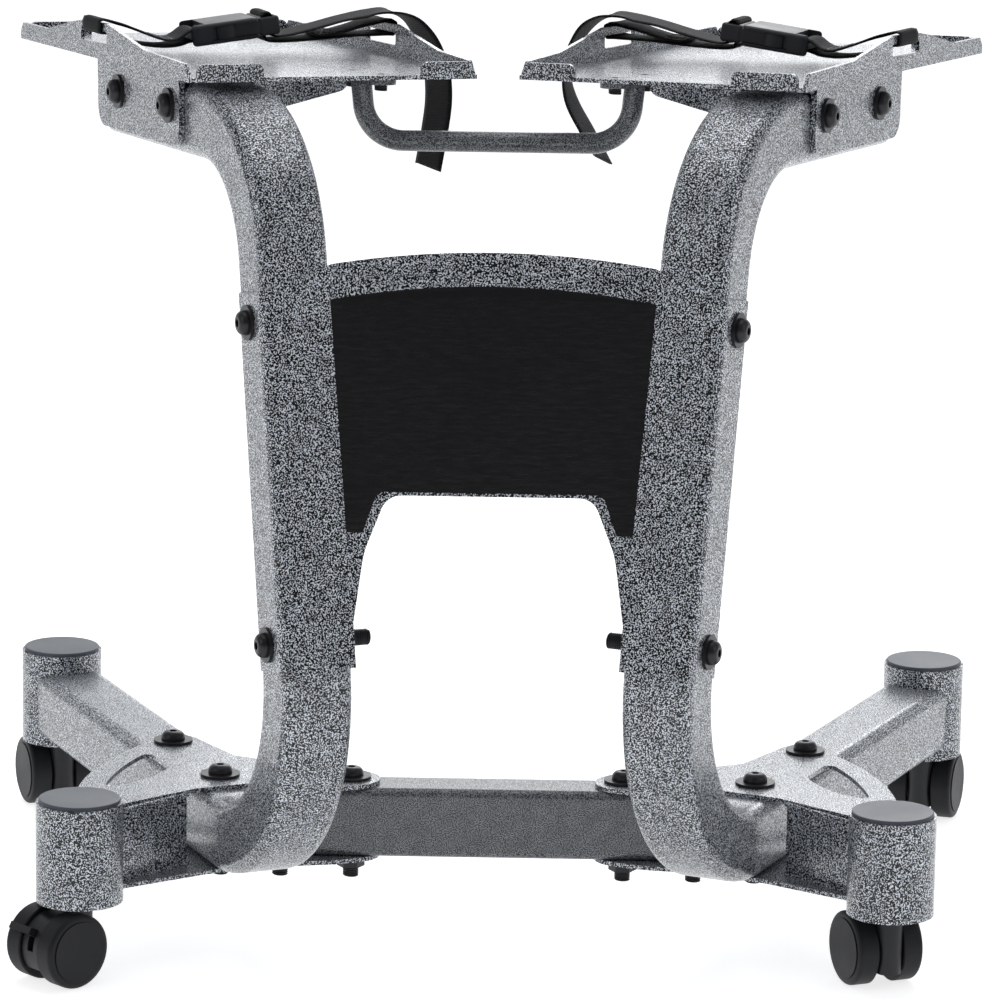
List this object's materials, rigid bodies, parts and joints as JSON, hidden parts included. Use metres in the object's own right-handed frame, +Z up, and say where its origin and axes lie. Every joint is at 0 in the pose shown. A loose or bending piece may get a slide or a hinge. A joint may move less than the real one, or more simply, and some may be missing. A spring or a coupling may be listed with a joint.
{
  "type": "wheeled stand for adjustable dumbbells",
  "caption": "Wheeled stand for adjustable dumbbells: bent square-tube uprights on a splayed base with twin-wheel casters, trays with buckled straps, a front panel and a towing handle.",
  "frame": {"origin": "on the floor, under the centre of the whole stand", "axes": "+Z up, +X to the right seen from the front, the front panel faces -Y"},
  "size_m": [0.731, 0.5582, 0.6411],
  "materials": {
    "silver_vein": "textured silver-vein powder coat, glossy",
    "hammer_grey": "fine dark hammer paint, semi-gloss",
    "cap_plastic": "satin blue-grey moulded plastic",
    "caster_plastic": "satin black moulded plastic",
    "wheel_plastic": "satin charcoal moulded plastic",
    "bright_steel": "zinc plated",
    "black_steel": "black oxide",
    "webbing": "ribbed polypropylene webbing",
    "buckle_plastic": "satin moulded acetal"
  },
  "bodies": {
    "root": {"base_bolts": "black_steel", "base_crossbar": "hammer_grey", "caster_stems": "bright_steel", "front_panel": "silver_vein", "handle_bolts": "black_steel", "left_bottom_plate": "silver_vein", "left_buckle_socket": "buckle_plastic", "left_front_arm": "silver_vein", "left_front_cap": "cap_plastic", "left_front_post": "silver_vein", "left_inner_strap": "webbing", "left_outer_strap": "webbing", "left_rear_arm": "silver_vein", "left_rear_cap": "cap_plastic", "left_rear_post": "silver_vein", "left_top_plate": "silver_vein", "left_tray": "silver_vein", "left_tray_bracket": "silver_vein", "left_upright": "silver_vein", "nuts": "black_steel", "panel_bolts": "black_steel", "right_bottom_plate": "silver_vein", "right_buckle_socket": "buckle_plastic", "right_front_arm": "silver_vein", "right_front_cap": "cap_plastic", "right_front_post": "silver_vein", "right_inner_strap": "webbing", "right_outer_strap": "webbing", "right_rear_arm": "silver_vein", "right_rear_cap": "cap_plastic", "right_rear_post": "silver_vein", "right_top_plate": "silver_vein", "right_tray": "silver_vein", "right_tray_bracket": "silver_vein", "right_upright": "silver_vein", "tow_handle": "hammer_grey", "tray_bolts": "black_steel", "washers": "bright_steel"},
    "left_front_caster": {"left_front_caster_body": "caster_plastic", "left_front_axle": "bright_steel"},
    "left_front_near_wheel": {"left_front_near_wheel": "wheel_plastic"},
    "left_front_far_wheel": {"left_front_far_wheel": "wheel_plastic"},
    "left_front_brake": {"left_front_brake_pedal": "caster_plastic"},
    "right_front_caster": {"right_front_caster_body": "caster_plastic", "right_front_axle": "bright_steel"},
    "right_front_near_wheel": {"right_front_near_wheel": "wheel_plastic"},
    "right_front_far_wheel": {"right_front_far_wheel": "wheel_plastic"},
    "right_front_brake": {"right_front_brake_pedal": "caster_plastic"},
    "left_rear_caster": {"left_rear_caster_body": "caster_plastic", "left_rear_axle": "bright_steel"},
    "left_rear_near_wheel": {"left_rear_near_wheel": "wheel_plastic"},
    "left_rear_far_wheel": {"left_rear_far_wheel": "wheel_plastic"},
    "left_rear_brake": {"left_rear_brake_pedal": "caster_plastic"},
    "right_rear_caster": {"right_rear_caster_body": "caster_plastic", "right_rear_axle": "bright_steel"},
    "right_rear_near_wheel": {"right_rear_near_wheel": "wheel_plastic"},
    "right_rear_far_wheel": {"right_rear_far_wheel": "wheel_plastic"},
    "right_rear_brake": {"right_rear_brake_pedal": "caster_plastic"},
    "right_plug": {"right_buckle_plug": "buckle_plastic"},
    "left_plug": {"left_buckle_plug": "buckle_plastic"}
  },
  "joints": [
    {"name": "left_front_swivel", "type": "hinge", "parent": "root", "child": "left_front_caster", "pos_m": [-0.2785, -0.204, 0.0545], "axis": [0, 0, 1], "continuous": true},
    {"name": "left_front_near_wheel_spin", "type": "hinge", "parent": "left_front_caster", "child": "left_front_near_wheel", "pos_m": [-0.29294, -0.21784, 0.026], "axis": [0.6921, -0.7218, 0], "continuous": true},
    {"name": "left_front_far_wheel_spin", "type": "hinge", "parent": "left_front_caster", "child": "left_front_far_wheel", "pos_m": [-0.29294, -0.21784, 0.026], "axis": [0.6921, -0.7218, 0], "continuous": true},
    {"name": "left_front_brake_press", "type": "hinge", "parent": "left_front_caster", "child": "left_front_brake", "pos_m": [-0.29294, -0.21784, 0.026], "axis": [0.6921, -0.7218, 0], "range_deg": [0, 24]},
    {"name": "right_front_swivel", "type": "hinge", "parent": "root", "child": "right_front_caster", "pos_m": [0.2785, -0.204, 0.0545], "axis": [0, 0, 1], "continuous": true},
    {"name": "right_front_near_wheel_spin", "type": "hinge", "parent": "right_front_caster", "child": "right_front_near_wheel", "pos_m": [0.27069, -0.18559, 0.026], "axis": [-0.9205, -0.3907, 0], "continuous": true},
    {"name": "right_front_far_wheel_spin", "type": "hinge", "parent": "right_front_caster", "child": "right_front_far_wheel", "pos_m": [0.27069, -0.18559, 0.026], "axis": [-0.9205, -0.3907, 0], "continuous": true},
    {"name": "right_front_brake_press", "type": "hinge", "parent": "right_front_caster", "child": "right_front_brake", "pos_m": [0.27069, -0.18559, 0.026], "axis": [-0.9205, -0.3907, 0], "range_deg": [0, 24]},
    {"name": "left_rear_swivel", "type": "hinge", "parent": "root", "child": "left_rear_caster", "pos_m": [-0.32808, 0.2285, 0.0545], "axis": [0, 0, 1], "continuous": true},
    {"name": "left_rear_near_wheel_spin", "type": "hinge", "parent": "left_rear_caster", "child": "left_rear_near_wheel", "pos_m": [-0.33547, 0.24708, 0.026], "axis": [-0.9291, -0.3697, 0], "continuous": true},
    {"name": "left_rear_far_wheel_spin", "type": "hinge", "parent": "left_rear_caster", "child": "left_rear_far_wheel", "pos_m": [-0.33547, 0.24708, 0.026], "axis": [-0.9291, -0.3697, 0], "continuous": true},
    {"name": "left_rear_brake_press", "type": "hinge", "parent": "left_rear_caster", "child": "left_rear_brake", "pos_m": [-0.33547, 0.24708, 0.026], "axis": [-0.9291, -0.3697, 0], "range_deg": [0, 24]},
    {"name": "right_rear_swivel", "type": "hinge", "parent": "root", "child": "right_rear_caster", "pos_m": [0.32808, 0.2285, 0.0545], "axis": [0, 0, 1], "continuous": true},
    {"name": "right_rear_near_wheel_spin", "type": "hinge", "parent": "right_rear_caster", "child": "right_rear_near_wheel", "pos_m": [0.33392, 0.24763, 0.026], "axis": [-0.9563, 0.2924, 0], "continuous": true},
    {"name": "right_rear_far_wheel_spin", "type": "hinge", "parent": "right_rear_caster", "child": "right_rear_far_wheel", "pos_m": [0.33392, 0.24763, 0.026], "axis": [-0.9563, 0.2924, 0], "continuous": true},
    {"name": "right_rear_brake_press", "type": "hinge", "parent": "right_rear_caster", "child": "right_rear_brake", "pos_m": [0.33392, 0.24763, 0.026], "axis": [-0.9563, 0.2924, 0], "range_deg": [0, 24]},
    {"name": "right_buckle_release", "type": "slide", "parent": "root", "child": "right_plug", "axis": [-0.9521, 0.2824, 0.1171], "range_m": [0, 0.036], "deforming": ["right_inner_strap"]},
    {"name": "left_buckle_release", "type": "slide", "parent": "root", "child": "left_plug", "axis": [0.9521, 0.2824, 0.1171], "range_m": [0, 0.036], "deforming": ["left_inner_strap"]}
  ]
}
